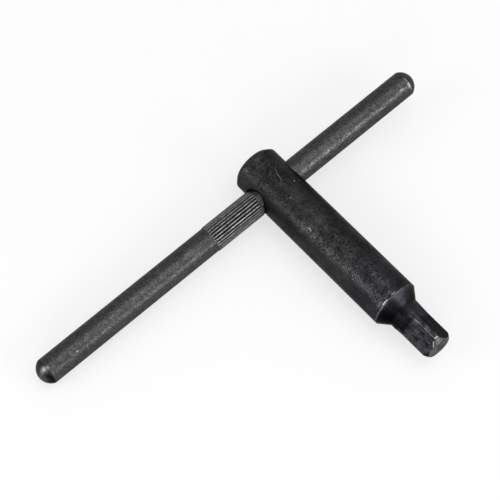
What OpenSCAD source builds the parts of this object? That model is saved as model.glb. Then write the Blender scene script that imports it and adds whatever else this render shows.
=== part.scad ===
// Lathe chuck key: a turned barrel with a milled square drive, and a round cross bar with a raised
// straight knurl, pushed through the barrel's cross hole as far as the knurl. It lies at rest on Z = 0.
// The barrel runs along X with its drive towards +X, and the long end of the bar points towards -Y.

/* [Barrel] */
// Diameter of the barrel's body
barrel_d = 18.6; // [16:0.1:22]
// From the bar's axis to the head end of the barrel
head_len = 12.2; // [10:0.1:20]
// From the bar's axis to the shoulder, where the body ends
body_len = 62.5; // [40:0.5:90]
// Chamfer of the head end
head_chamfer = 1.8; // [0.6:0.1:2.4]
// Radius that softens both edges of the head chamfer
head_soften = 0.7; // [0.2:0.1:0.9]
// Radius that softens the shoulder's edge
shoulder_soften = 0.25; // [0.1:0.05:0.6]
// Length of the cone between the shoulder and the neck
cone_len = 4.2; // [2:0.1:8]
// Fillet at the foot of the cone
cone_fillet = 0.9; // [0.3:0.1:1.5]

/* [Square drive] */
// Across the flats of the square
square_af = 9.3; // [8:0.1:10]
// Diameter over the square's turned corners
corner_d = 11.9; // [11.4:0.1:12.1]
// Diameter of the round neck behind the square
neck_d = 12.2; // [12.2:0.1:13]
// From the foot of the cone to the end of the neck
neck_len = 2.4; // [1.5:0.1:5]
// From the shoulder to the end face of the drive
drive_len = 22.2; // [18:0.1:32]
// Length of the flats at full depth, up to the end face
flat_len = 11.4; // [8:0.1:12]
// Diameter of the cutter that leaves the curved run-outs
cutter_d = 14; // [8:0.5:18]
// Turn of the square about the barrel, from the bar's axis to the first flat
square_turn = 46; // [0:1:89]
// Length of the rounded nose
nose_len = 1.9; // [0.8:0.1:2.5]
// Radial depth of the rounded nose at the end face
nose_depth = 1.4; // [0.6:0.1:2]
// Radius that softens the rim of the end face
nose_soften = 0.2; // [0.1:0.1:0.8]

/* [Cross bar] */
// Diameter of the plain bar
bar_d = 10; // [8:0.1:11]
// From the barrel's axis to the bar's long end
bar_long = 109.5; // [80:0.5:150]
// From the barrel's axis to the bar's short end
bar_short = 67.4; // [40:0.5:110]
// Height of the domed ends
dome_h = 3.5; // [1:0.1:4.5]

/* [Cross hole] */
// Radial clearance between the plain bar and its hole
hole_clearance = 0.12; // [0.05:0.01:0.2]
// Width of the broken edge round both mouths of the hole
mouth_break = 0.3; // [0.1:0.05:0.5]

/* [Straight knurl] */
// Height of the ridge crests above the plain bar
knurl_rise = 0.23; // [0.15:0.01:0.4]
// Depth of the grooves, from crest to root
knurl_depth = 0.45; // [0.3:0.01:0.6]
// Number of ridges round the bar
knurl_count = 28; // [16:1:36]
// Length of the knurl with both of its run-ins
knurl_len = 22; // [10:0.5:30]
// Length of the sloped run-in at each end
knurl_ramp = 0.8; // [0.4:0.1:1.5]
// Width of a crest as a share of the pitch
crest_share = 0.26; // [0.1:0.01:0.4]
// Gap between the side of the barrel and the knurl that stops against it
knurl_gap = 0.05; // [0.02:0.01:0.3]
// Turn of the first crest about the bar, from the barrel's axis
knurl_turn = 88.5; // [0:0.5:90]

/* [Hidden] */
$fn = 96;
// Amount by which a cutting shape runs past the surface that it cuts
over = 1;
// Straight pieces in each softened corner, and round each mouth of the hole
corner_steps = 5;
mouth_steps = 72;
barrel_r = barrel_d / 2;
bar_r = bar_d / 2;
hole_r = bar_r + hole_clearance;
drive_tip = body_len + drive_len;
cone_foot = body_len + cone_len;
neck_end = cone_foot + neck_len;
corner_r = corner_d / 2;
rim_r = corner_r - nose_depth;
// The nose is turned to a sphere that meets the turned corners and the rim of the end face
crown_back = (nose_len * nose_len + corner_r * corner_r - rim_r * rim_r) / (2 * nose_len);
crown_r = norm([crown_back, rim_r]);
crest_r = bar_r + knurl_rise;
root_r = crest_r - knurl_depth;
knurl_start = barrel_r + knurl_gap;
// Radius of the sphere that forms each domed end
dome_r = (bar_r * bar_r + dome_h * dome_h) / (2 * dome_h);
// The key rests on the barrel and on the lower edge of the long end's dome
contact_len = bar_long - dome_h;
rest_tilt = asin(barrel_r / norm([contact_len, bar_r])) - atan2(bar_r, contact_len);
// The model's origin is under the middle of the box round the resting key
middle_x = (drive_tip - head_len) / 2;
middle_y = ((bar_short - dome_r) - (bar_long - dome_r)) * cos(rest_tilt) / 2;

function unit(v) = v / norm(v);

// Arc of radius r that replaces the corner b between the points a and c
function corner_arc(a, b, c, r) =
    let (
        u = unit(a - b),
        w = unit(c - b),
        half = acos(u * w) / 2,
        centre = b + unit(u + w) * r / sin(half),
        from = b + u * r / tan(half) - centre,
        to = b + w * r / tan(half) - centre,
        first = atan2(from.y, from.x),
        turn = atan2(from.x * to.y - from.y * to.x, from * to)
    )
    [for (k = [0 : corner_steps]) let (t = first + turn * k / corner_steps) centre + r * [cos(t), sin(t)]];

// Outline whose corners [x, y, radius] are softened where the radius is above zero
function softened(corners) =
    let (n = len(corners), at = [for (c = corners) [c.x, c.y]])
    [for (k = [0 : n - 1])
        each corners[k][2] > 0
            ? corner_arc(at[(k + n - 1) % n], at[k], at[(k + 1) % n], corners[k][2])
            : [at[k]]];

// Turns a half section about the barrel's axis: x is the radius and y the place along +X
module turned_on_x() {
    rotate([0, 90, 0]) rotate_extrude() children();
}

// Lays a shape built along Z on the bar's axis, with its Z towards the long end
module along_bar() {
    rotate([90, 0, 0]) children();
}

// Lays the key down as it rests, with the long end of the bar on the floor
module at_rest() {
    translate([-middle_x, -middle_y, barrel_r]) rotate([rest_tilt, 0, 0]) children();
}

// Half section that holds all of the blank apart from what is turned off the nose
module nose_section() {
    translate([0, -head_len]) square([barrel_r, head_len + drive_tip - crown_back]);
    translate([0, drive_tip - crown_back]) circle(crown_r);
}

// The turned blank, whose rim is softened between the end face and the line that touches the nose there
module barrel_blank() {
    turned_on_x() intersection() {
        polygon(softened([
            [0, -head_len, 0],
            [barrel_r - head_chamfer, -head_len, head_soften],
            [barrel_r, -head_len + head_chamfer, head_soften],
            [barrel_r, body_len, shoulder_soften],
            [neck_d / 2, cone_foot, cone_fillet],
            [neck_d / 2, neck_end, 0],
            [corner_r, neck_end + (neck_d - corner_d) / 2, 0],
            [corner_r, drive_tip - nose_depth * rim_r / crown_back, 0],
            [rim_r, drive_tip, nose_soften],
            [0, drive_tip, 0],
        ]));
        nose_section();
    }
}

// What the cutter takes away to leave one flat of the square and its curved run-out
module flat_cut() {
    flat_z = square_af / 2;
    translate([drive_tip - flat_len, -corner_r - over, flat_z])
        cube([flat_len + over, corner_d + 2 * over, cutter_d / 2]);
    translate([drive_tip - flat_len, 0, flat_z + cutter_d / 2])
        rotate([90, 0, 0]) cylinder(d = cutter_d, h = neck_d + 2 * over, center = true);
}

// Ring of triangular section that breaks the edge where the hole leaves the round body
module mouth_ring() {
    inner = hole_r - 0.4 * mouth_break;
    outer = hole_r + 1.4 * mouth_break;
    // Height of the round body's surface over a point at radius r and angle t from the hole's axis
    function body_height(r, t) = sqrt(barrel_r * barrel_r - pow(r * sin(t), 2));
    // Slope of the broken edge at angle t
    function rise(t) = body_height(hole_r + mouth_break, t) - body_height(hole_r, t) + mouth_break;
    ring = [for (k = [0 : mouth_steps - 1])
        let (t = 360 * k / mouth_steps, low = body_height(hole_r, t) - mouth_break)
        [
            [inner, low - 0.4 * rise(t)],
            [outer, low + 1.4 * rise(t)],
            [inner, body_height(hole_r, t) + mouth_break],
        ]];
    points = [for (k = [0 : mouth_steps - 1]) for (p = ring[k])
        let (t = 360 * k / mouth_steps) [p[0] * cos(t), p[0] * sin(t), p[1]]];
    sides = [for (k = [0 : mouth_steps - 1]) for (j = [0 : 2])
        let (a = 3 * k, b = 3 * ((k + 1) % mouth_steps), i = (j + 1) % 3)
        [a + j, a + i, b + i, b + j]];
    polyhedron(points, sides);
}

module barrel() {
    color([0.20, 0.20, 0.22]) at_rest() difference() {
        barrel_blank();
        for (k = [0 : 3]) rotate([square_turn + 90 * k, 0, 0]) flat_cut();
        along_bar() cylinder(r = hole_r, h = barrel_d + 2 * over, center = true);
        for (side = [-90, 90]) rotate([side, 0, 0]) mouth_ring();
    }
}

// Half section of a domed end whose top lies at the given place along the bar
module dome_section(top) {
    intersection() {
        translate([0, top - dome_r]) circle(dome_r);
        translate([0, top - dome_h]) square([bar_r, dome_h]);
    }
}

// The bar as turned, with the surface sunk to the roots of the grooves under the knurl
module bar_blank() {
    knurl_end = knurl_start + knurl_len;
    rotate_extrude() difference() {
        union() {
            translate([0, -bar_short + dome_h]) square([bar_r, bar_short + bar_long - 2 * dome_h]);
            dome_section(bar_long);
            mirror([0, 1]) dome_section(bar_short);
        }
        polygon([
            [bar_r + over, knurl_start],
            [bar_r, knurl_start],
            [root_r, knurl_start + knurl_ramp],
            [root_r, knurl_end - knurl_ramp],
            [bar_r, knurl_end],
            [bar_r + over, knurl_end],
        ]);
    }
}

// Cross section through the ridges: flat crests with straight flanks that run on below the roots
module ridge_section() {
    pitch = 360 / knurl_count;
    valley_r = root_r - knurl_depth / 3;
    polygon([for (k = [0 : knurl_count - 1]) each [
        let (t = knurl_turn + pitch * (k - crest_share / 2)) crest_r * [cos(t), sin(t)],
        let (t = knurl_turn + pitch * (k + crest_share / 2)) crest_r * [cos(t), sin(t)],
        let (t = knurl_turn + pitch * (k + 0.5)) valley_r * [cos(t), sin(t)],
    ]]);
}

// Envelope that slopes the ridges down into the plain bar at both ends of the knurl
module ridge_envelope() {
    inset = 0.12;
    low_r = root_r - knurl_depth / 2;
    slope = (knurl_ramp - inset) / knurl_rise;
    back = (bar_r - low_r) * slope - inset;
    rotate_extrude() polygon([
        [0, knurl_start - back],
        [low_r, knurl_start - back],
        [crest_r, knurl_start + knurl_ramp],
        [crest_r, knurl_start + knurl_len - knurl_ramp],
        [low_r, knurl_start + knurl_len + back],
        [0, knurl_start + knurl_len + back],
    ]);
}

module cross_bar() {
    color([0.42, 0.42, 0.44]) at_rest() along_bar() {
        bar_blank();
        intersection() {
            translate([0, 0, knurl_start - over]) linear_extrude(knurl_len + 2 * over) ridge_section();
            ridge_envelope();
        }
    }
}

barrel();
cross_bar();
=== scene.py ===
"""Dresses a lathe chuck key: a turned barrel with a milled square drive, and a knurled cross bar.

Both pieces are surfaces of revolution that are changed by their angle as well, so each one is a grid
over a place along its axis and an angle round it. Lengths are in metres.
"""
import math

import bpy
import numpy as np
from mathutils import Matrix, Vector


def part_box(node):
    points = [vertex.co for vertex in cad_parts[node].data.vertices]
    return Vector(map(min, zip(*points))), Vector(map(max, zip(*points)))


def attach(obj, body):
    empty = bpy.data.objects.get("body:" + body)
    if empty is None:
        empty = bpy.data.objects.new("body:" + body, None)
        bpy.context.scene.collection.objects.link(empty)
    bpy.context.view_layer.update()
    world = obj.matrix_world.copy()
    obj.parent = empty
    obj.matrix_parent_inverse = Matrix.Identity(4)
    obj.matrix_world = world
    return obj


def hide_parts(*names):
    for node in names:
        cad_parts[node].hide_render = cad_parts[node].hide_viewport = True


bl_info = {
    "name": "Lathe Chuck Key",
    "version": (1, 0, 0),
    "blender": (4, 5, 0),
    "location": "View3D > Sidebar > Chuck Key",
    "description": "Builds the finished surfaces of a lathe chuck key and its studio",
    "category": "Object",
}

MM = 0.001
TINY = 1e-9
# What the masks of painted light and shade are divided by, because a mask holds values from zero to one
PAINTED_LIGHT_SCALE = 4.0
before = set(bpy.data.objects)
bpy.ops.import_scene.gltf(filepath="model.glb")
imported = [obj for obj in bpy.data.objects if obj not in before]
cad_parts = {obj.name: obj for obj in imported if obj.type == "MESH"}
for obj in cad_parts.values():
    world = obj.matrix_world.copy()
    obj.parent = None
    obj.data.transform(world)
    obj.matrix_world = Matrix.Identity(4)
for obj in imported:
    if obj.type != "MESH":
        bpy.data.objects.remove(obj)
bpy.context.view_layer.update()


# Sizes and colours


def length(name, description, millimetres):
    """A length property whose default is given in millimetres."""
    return bpy.props.FloatProperty(
        name=name, description=description, default=millimetres * MM, min=0.0, precision=5, unit="LENGTH"
    )


def share(name, description, default):
    """A property between zero and one."""
    return bpy.props.FloatProperty(name=name, description=description, default=default, min=0.0, max=1.0)


def colour(name, description, default):
    """A scene-linear colour property."""
    return bpy.props.FloatVectorProperty(
        name=name, description=description, default=default, size=3, min=0.0, max=1.0, subtype="COLOR"
    )


def angle(name, description, degrees):
    """An angle property whose default is given in degrees."""
    return bpy.props.FloatProperty(
        name=name, description=description, default=math.radians(degrees), subtype="ANGLE"
    )


class BarrelSizes(bpy.types.PropertyGroup):
    """Sizes of the turned barrel, from the bar's axis outwards."""

    diameter: length("Diameter", "Diameter of the barrel's body", 18.6)
    head: length("Head", "From the bar's axis to the head end", 12.2)
    body: length("Body", "From the bar's axis to the shoulder", 62.5)
    chamfer: length("Head chamfer", "Chamfer of the head end", 1.8)
    head_soften: length("Head softening", "Radius on both edges of the head chamfer", 0.7)
    shoulder_soften: length("Shoulder softening", "Radius on the shoulder's edge", 0.25)
    cone: length("Cone", "Length of the cone between the shoulder and the neck", 4.2)
    cone_fillet: length("Cone fillet", "Fillet at the foot of the cone", 0.9)
    neck_diameter: length("Neck diameter", "Diameter of the neck behind the square", 12.2)
    neck: length("Neck", "From the foot of the cone to the end of the neck", 2.4)
    mouth_break: length("Mouth break", "Width of the broken edge round the cross hole", 0.3)


class DriveSizes(bpy.types.PropertyGroup):
    """Sizes of the milled square drive."""

    across: length("Across flats", "Size of the square across its flats", 9.3)
    corner: length("Over corners", "Diameter over the square's turned corners", 11.9)
    reach: length("Reach", "From the shoulder to the end face", 22.2)
    flat: length("Flats", "Length of the flats at full depth", 11.4)
    cutter: length("Cutter", "Diameter of the cutter that leaves the curved run-outs", 14.0)
    turn: angle("Turn", "Turn of the square about the barrel", 46.0)
    nose: length("Nose", "Length of the rounded nose", 1.9)
    nose_depth: length("Nose depth", "Radial depth of the rounded nose at the end face", 1.4)
    nose_soften: length("Nose softening", "Radius on the rim of the end face", 0.2)
    edge_soften: length("Edge softening", "Width over which the long edges are rounded", 0.12)


class BarSizes(bpy.types.PropertyGroup):
    """Sizes of the cross bar and its straight knurl."""

    diameter: length("Diameter", "Diameter of the plain bar", 10.0)
    long_end: length("Long end", "From the barrel's axis to the long end", 109.5)
    short_end: length("Short end", "From the barrel's axis to the short end", 67.4)
    dome: length("Dome", "Height of the domed ends", 3.5)
    clearance: length("Clearance", "Radial clearance between the bar and its hole", 0.12)
    knurl_rise: length("Knurl rise", "Height of the crests above the plain bar", 0.23)
    knurl_depth: length("Knurl depth", "Depth of the grooves from crest to root", 0.45)
    knurl_length: length("Knurl length", "Length of the knurl with both run-ins", 22.0)
    knurl_ramp: length("Knurl run-in", "Length of the sloped run-in at each end", 0.8)
    knurl_gap: length("Knurl gap", "Gap between the barrel's side and the knurl", 0.05)
    knurl_turn: angle("Knurl turn", "Turn of the first crest about the bar", 88.5)
    crest_share: share("Crest share", "Width of a crest as a share of the pitch", 0.26)
    knurl_count: bpy.props.IntProperty(name="Ridges", description="Number of ridges", default=28, min=3)


class Finishes(bpy.types.PropertyGroup):
    """Colours of the two steels."""

    barrel: colour("Barrel", "Black oxide on the barrel", (0.0317, 0.0317, 0.0319))
    neck: colour("Neck", "Blacker oxide on the cone and the neck", (0.0110, 0.0106, 0.0132))
    flats: colour("Flats", "Oxide on the milled square", (0.0280, 0.0272, 0.0330))
    nose: colour("Nose", "Thinner oxide on the nose of the drive", (0.105, 0.104, 0.110))
    bar: colour("Bar", "Darkened steel of the bar", (0.064, 0.064, 0.0646))
    dome: colour("Domes", "Darker finish on the bar's domed ends", (0.026, 0.026, 0.029))
    bare: colour("Bare steel", "Steel where the finish is rubbed through", (0.42, 0.42, 0.42))
    edge: colour("Edge tint", "Tint of both finishes at a grazing angle", (0.55, 0.55, 0.55))


class StudioSettings(bpy.types.PropertyGroup):
    """Where the camera stands and how bright the studio is."""

    azimuth: angle("Camera azimuth", "From +X, seen from above", -41.27)
    elevation: angle("Camera elevation", "Above the floor", 62.81)
    roll: angle("Camera roll", "Turn of the camera about its own line of sight", -0.33)
    distance: length("Camera distance", "From the camera to the point it looks at", 643.1)
    focal: bpy.props.FloatProperty(
        name="Focal length", description="For a sensor 36 mm wide", default=130.64, unit="CAMERA"
    )


# Outlines and meshes


def corner_arc(before, corner, after, radius, steps):
    """Points of the arc of the given radius that touches both lines which meet in the corner."""
    u = (before - corner) / np.linalg.norm(before - corner)
    w = (after - corner) / np.linalg.norm(after - corner)
    half = math.acos(float(u @ w)) / 2
    centre = corner + (u + w) / np.linalg.norm(u + w) * radius / math.sin(half)
    start = corner + u * radius / math.tan(half) - centre
    end = corner + w * radius / math.tan(half) - centre
    first = math.atan2(start[1], start[0])
    turn = math.atan2(start[0] * end[1] - start[1] * end[0], float(start @ end))
    t = first + turn * np.linspace(0, 1, steps + 1)
    return centre + radius * np.stack([np.cos(t), np.sin(t)], 1)


def softened(corners, steps=7):
    """Open outline through corners (place, radius, softening), with an arc where softening isn't zero."""
    at = np.array([corner[:2] for corner in corners])
    parts = []
    for k, corner in enumerate(corners):
        if corner[2] > 0:
            parts.append(corner_arc(at[k - 1], at[k], at[k + 1], corner[2], steps))
        else:
            parts.append(at[k : k + 1])
    return np.concatenate(parts)


def refined(outline, spacing):
    """Splits each straight piece of an outline into equal parts no longer than spacing at its middle."""
    parts = []
    for a, b in zip(outline[:-1], outline[1:]):
        count = max(1, math.ceil(np.linalg.norm(b - a) / spacing((a + b) / 2)))
        parts.append(a + (b - a) * np.arange(count)[:, None] / count)
    parts.append(outline[-1:])
    return np.concatenate(parts)


def soft_min(a, b, width):
    """The smaller of a and b, rounded by a parabola where they differ by less than width."""
    h = np.clip(0.5 + 0.5 * (b - a) / width, 0, 1)
    return b + (a - b) * h - width * h * (1 - h)


def soft_max(a, b, width):
    """The larger of a and b, rounded where they differ by less than width."""
    return -soft_min(-a, -b, width)


def noise_rows(places, seed, step, size):
    """Smooth random heights along a line: random values every step, joined by cosines, times size."""
    rng = np.random.default_rng(seed)
    low = places.min() - step
    knots = rng.uniform(-1, 1, int((places.max() - low) / step) + 3)
    x = (places - low) / step
    k = np.floor(x).astype(int)
    t = 0.5 - 0.5 * np.cos(np.pi * (x - k))
    return size * (knots[k] * (1 - t) + knots[k + 1] * t)


def quads_between(rows):
    """Four-cornered faces between each row of indices and the next, where each row closes on itself."""
    a, b = rows[:-1], rows[1:]
    return np.stack([a, np.roll(a, -1, 1), np.roll(b, -1, 1), b], -1).reshape(-1, 4)


def cap_fans(index, first, last):
    """Triangles that join the first row of indices to one pole, and the last row to the other."""
    columns = index.shape[1]
    return np.concatenate([
        np.stack([np.full(columns, first), np.roll(index[0], -1), index[0]], 1),
        np.stack([np.full(columns, last), index[-1], np.roll(index[-1], -1)], 1),
    ])


def make_mesh(name, points, quads, triangles):
    """Mesh of quads and triangles with outward faces: the sign of the enclosed volume turns them all."""
    fan = np.concatenate([quads[:, [0, 1, 2]], quads[:, [0, 2, 3]], triangles])
    a, b, c = points[fan[:, 0]], points[fan[:, 1]], points[fan[:, 2]]
    if np.einsum("ij,ij->", a, np.cross(b, c)) < 0:
        quads, triangles = quads[:, ::-1], triangles[:, ::-1]
    mesh = bpy.data.meshes.new(name)
    mesh.vertices.add(len(points))
    mesh.vertices.foreach_set("co", points.astype(np.float32).ravel())
    corners = np.concatenate([quads.ravel(), triangles.ravel()]).astype(np.int32)
    mesh.loops.add(len(corners))
    mesh.loops.foreach_set("vertex_index", corners)
    starts = np.concatenate([np.arange(len(quads)) * 4, len(quads) * 4 + np.arange(len(triangles)) * 3])
    mesh.polygons.add(len(starts))
    mesh.polygons.foreach_set("loop_start", starts.astype(np.int32))
    mesh.polygons.foreach_set("use_smooth", np.ones(len(starts), bool))
    mesh.update(calc_edges=True)
    mesh.validate()
    return mesh


def add_masks(mesh, masks):
    """Stores each mask, one number per vertex, as an attribute that a material can read."""
    for name, values in masks.items():
        mask = mesh.attributes.new(name, "FLOAT", "POINT")
        mask.data.foreach_set("value", np.clip(values, 0, 1).astype(np.float32))


def looked_up(value, table):
    """Straight lines between the entries of a table, value: result."""
    return np.interp(value, list(table), list(table.values()))


# Where the key lies


def rest_tilt(bar, barrel_radius):
    """Turn about the barrel's axis that brings the edge of the long end's dome down to the floor."""
    reach = bar.long_end - bar.dome
    radius = bar.diameter / 2
    return math.asin(barrel_radius / math.hypot(reach, radius)) - math.atan2(radius, reach)


def crossing(barrel):
    """The point where the barrel's axis meets the bar's, from the barrel's box in the frame."""
    low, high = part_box("barrel")
    return np.array([low[0] + barrel.head, (low[1] + high[1]) / 2, (low[2] + high[2]) / 2])


def laid_down(points, barrel, bar):
    """Takes points from the key's own axes (X barrel, Y short end of the bar) to where it rests."""
    tilt = rest_tilt(bar, barrel.diameter / 2)
    c, s = math.cos(tilt), math.sin(tilt)
    turn = np.array([[1, 0, 0], [0, c, -s], [0, s, c]])
    return points @ turn.T + crossing(barrel)


# The barrel

# Half the length and half the angle of the piece of the barrel's side that holds a mouth of the hole
WINDOW_X = 8.0 * MM
WINDOW_ANGLE = math.radians(50)
# Even step between the columns of the barrel's skin
COLUMN_STEP = math.radians(1.25)


def nose_sphere(drive):
    """The corners' radius, the rim's radius, and how far the nose's sphere has its centre behind the tip.

    The sphere passes through both circles, which lie the length of the nose apart: with its centre at
    the distance b, b squared + rim squared = (b - nose) squared + corner squared.
    """
    corner_r = drive.corner / 2
    rim_r = corner_r - drive.nose_depth
    return corner_r, rim_r, (drive.nose**2 + corner_r**2 - rim_r**2) / (2 * drive.nose)


def barrel_outline(barrel, drive):
    """Half section of the turned blank from the head's centre to the drive's, as (place, radius).

    The nose is part of a sphere through the end of the turned corners and the rim of the end face.
    """
    radius, neck_r = barrel.diameter / 2, barrel.neck_diameter / 2
    corner_r, rim_r, crown_back = nose_sphere(drive)
    foot = barrel.body + barrel.cone
    neck_end = foot + barrel.neck
    tip = barrel.body + drive.reach
    outline = softened([
        (-barrel.head, 0, 0),
        (-barrel.head, radius - barrel.chamfer, barrel.head_soften),
        (-barrel.head + barrel.chamfer, radius, barrel.head_soften),
        (-WINDOW_X, radius, 0),
        (WINDOW_X, radius, 0),
        (barrel.body, radius, barrel.shoulder_soften),
        (foot, neck_r, barrel.cone_fillet),
        (neck_end, neck_r, 0),
        (neck_end + neck_r - corner_r, corner_r, 0),
        (tip - drive.nose, corner_r, 0),
        (tip - drive.nose_depth * rim_r / crown_back, corner_r, 0),
        (tip, rim_r, drive.nose_soften),
        (tip, 0, 0),
    ])

    def spacing(middle):
        if abs(middle[0]) < WINDOW_X:
            return 0.5 * MM
        if foot + barrel.neck / 2 < middle[0] < tip - drive.flat:
            return 0.12 * MM
        if middle[0] > tip - drive.nose:
            return 0.2 * MM
        if middle[0] > foot - 1.0 * MM:
            return 0.5 * MM
        return 1.1 * MM

    outline = refined(outline, spacing)
    ahead = np.maximum(outline[:, 0] - tip + crown_back, 0)
    crown = np.sqrt(crown_back**2 + rim_r**2 - ahead**2)
    on_nose = outline[:, 0] > tip - drive.nose
    outline[on_nose, 1] = np.minimum(outline[on_nose, 1], crown[on_nose])
    return outline


def barrel_angles(drive):
    """Angles round the barrel: even steps, and closer ones beside the eight long edges of the square."""
    even = np.arange(0, 2 * math.pi - 1e-9, COLUMN_STEP)
    half = math.acos(drive.across / drive.corner)
    near = np.radians([-0.6, -0.3, 0.0, 0.3, 0.6])
    flats = drive.turn + np.arange(4)[:, None] * math.pi / 2
    edges = (np.concatenate([flats - half, flats + half]) + near).ravel() % (2 * math.pi)
    from_hole = np.abs((edges + WINDOW_ANGLE) % math.pi - WINDOW_ANGLE)
    edges = edges[from_hole > WINDOW_ANGLE + COLUMN_STEP]
    gaps = np.abs((edges[:, None] - even[None] + math.pi) % (2 * math.pi) - math.pi)
    keep = even[gaps.min(0) > math.radians(0.2)]
    return np.sort(np.concatenate([keep, edges]))


def flat_radius(places, angles, drive, tip):
    """Radius of the milled flats at each place and angle.

    A flat lies at half the size across flats from the axis, and the cutter's arc lifts it away in front
    of its full depth. At the angle d from the middle of a flat it is reached at its distance / cos(d).
    """
    cutter_r = drive.cutter / 2
    back = np.clip(tip - drive.flat - places, 0, cutter_r)
    lift = cutter_r - np.sqrt(cutter_r**2 - back**2)
    distance = drive.across / 2 + lift
    quarter = math.pi / 2
    from_flat = (angles - drive.turn + quarter / 2) % quarter - quarter / 2
    return distance[:, None] / np.cos(from_flat)[None], from_flat


def drive_radius(places, radii, angles, drive, tip):
    """Radius at each place and angle: the turned one, cut back by the nearest flat."""
    flat, _ = flat_radius(places, angles, drive, tip)
    return soft_min(np.broadcast_to(radii[:, None], flat.shape), flat, drive.edge_soften)


def mouth_rings(barrel, hole_r, loop, side):
    """Rings from the loop (place, angle from the hole's axis) to the wall of the hole, on the given side.

    Outside the mouth the rings blend from the loop to a circle round the hole on the barrel's side.
    The broken edge follows a quarter of an ellipse from the side down into the hole's wall.
    The second value, a painted shade, is one on the broken edge and falls to zero a third of a millimetre
    outside it.
    """
    radius, width = barrel.diameter / 2, barrel.mouth_break
    mouth_r = hole_r + width
    t = np.arctan2(radius * np.sin(loop[:, 1]), loop[:, 0])
    mouth = np.stack([mouth_r * np.cos(t), np.arcsin(mouth_r * np.sin(t) / radius)], 1)
    shares = np.linspace(0, 1, 15)[1:] ** 1.6
    flat_rings = loop[None] + (mouth - loop)[None] * shares[:, None, None]
    on_side = np.stack([
        flat_rings[..., 0],
        side * radius * np.cos(flat_rings[..., 1]),
        radius * np.sin(flat_rings[..., 1]),
    ], -1)
    q = np.linspace(0, math.pi / 2, 7)[1:]
    r = (hole_r + width * (1 - np.sin(q)))[:, None]
    height = np.sqrt(radius**2 - (r * np.sin(t)) ** 2) - (width * (1 - np.cos(q)))[:, None]
    edge = np.stack([r * np.cos(t), side * height, r * np.sin(t)], -1)
    from_mouth = np.concatenate([(1 - shares) * WINDOW_X, np.zeros(len(q))])
    return np.concatenate([on_side, edge]), np.clip(1.3 - from_mouth / (0.35 * MM), 0, 1)


def barrel_mesh(barrel, drive, bar):
    """Closed mesh of the barrel: the turned and milled skin, both mouths and the wall of the cross hole."""
    tip = barrel.body + drive.reach
    outline = barrel_outline(barrel, drive)
    places, radii = outline[1:-1, 0], outline[1:-1, 1]
    angles = barrel_angles(drive)
    r = drive_radius(places, radii, angles, drive, tip)
    x = np.broadcast_to(places[:, None], r.shape)
    skin = np.stack([x, r * np.cos(angles), r * np.sin(angles)], -1)
    rows, columns = r.shape
    index = np.arange(rows * columns).reshape(rows, columns)

    # Leave out the two windows in the skin, and remember the loop of indices round each one
    inside_rows = (places[:-1] > -WINDOW_X - TINY) & (places[1:] < WINDOW_X + TINY)
    inside_rows &= radii[:-1] > barrel.diameter / 2 - TINY
    row_ids = np.flatnonzero(inside_rows)
    first_row, last_row = row_ids[0], row_ids[-1] + 1
    following = np.append(angles[1:], angles[0] + 2 * math.pi)
    points = [skin.reshape(-1, 3)]
    worn = [edge_mask(places, angles, r, barrel, drive, tip).ravel()]
    # Painted shade: a dark ring on the head's chamfer, and round each mouth of the hole
    chamfer_shade = np.exp(-(((places + barrel.head - barrel.chamfer * 0.55) / (0.17 * MM)) ** 2))
    painted_shade = [np.repeat(chamfer_shade, columns)]
    count = rows * columns
    keep = np.ones((rows - 1, columns), bool)
    walls = []
    for middle, side in ((0.0, 1), (math.pi, -1)):
        start = (angles - middle + math.pi) % (2 * math.pi) - math.pi
        end = (following - middle + math.pi) % (2 * math.pi) - math.pi
        inside = (start > -WINDOW_ANGLE - 1e-6) & (end < WINDOW_ANGLE + 1e-6) & (start < end)
        keep[first_row:last_row, inside] = False
        across = np.flatnonzero(inside)
        across = across[np.argsort(start[across])]
        across = np.append(across, (across[-1] + 1) % columns)
        ids = np.concatenate([
            index[first_row, across[:-1]],
            index[first_row:last_row, across[-1]],
            index[last_row, across[:0:-1]],
            index[last_row:first_row:-1, across[0]],
        ])
        loop = skin.reshape(-1, 3)[ids]
        flat_loop = np.stack([loop[:, 0], np.arctan2(loop[:, 2], side * loop[:, 1])], 1)
        if side < 0:
            ids, flat_loop = ids[::-1], flat_loop[::-1]
        turn = np.argmin(np.arctan2(flat_loop[:, 1], flat_loop[:, 0]))
        ids, flat_loop = np.roll(ids, -turn), np.roll(flat_loop, -turn, 0)
        rings, ring_shade = mouth_rings(barrel, bar.diameter / 2 + bar.clearance, flat_loop, side)
        new = count + np.arange(rings[..., 0].size).reshape(rings.shape[:2])
        count += new.size
        points.append(rings.reshape(-1, 3))
        worn.append(np.zeros(new.size))
        painted_shade.append(np.repeat(ring_shade, rings.shape[1]))
        band = quads_between(np.concatenate([ids[None], new]))
        walls.append((band if side > 0 else band[:, ::-1], new[-1]))
    tunnel = quads_between(np.stack([walls[0][1], walls[1][1]]))
    points.append([[places[0], 0, 0], [places[-1], 0, 0]])
    all_points = np.concatenate(points)
    all_quads = np.concatenate([quads_between(index)[keep.ravel()], walls[0][0], walls[1][0], tunnel])
    caps = cap_fans(index, count, count + 1)
    mesh = make_mesh("barrel_skin", laid_down(all_points, barrel, bar), all_quads, caps)
    # Worn edges, and the painted shade at the head's chamfer and round the mouths
    rubbed = {"worn": np.concatenate([*worn, [0, 0]]), "painted_shade": np.concatenate([*painted_shade, [0, 0]])}
    add_masks(mesh, {**rubbed, **drive_masks(all_points, barrel, drive, tip)})
    return mesh
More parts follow.
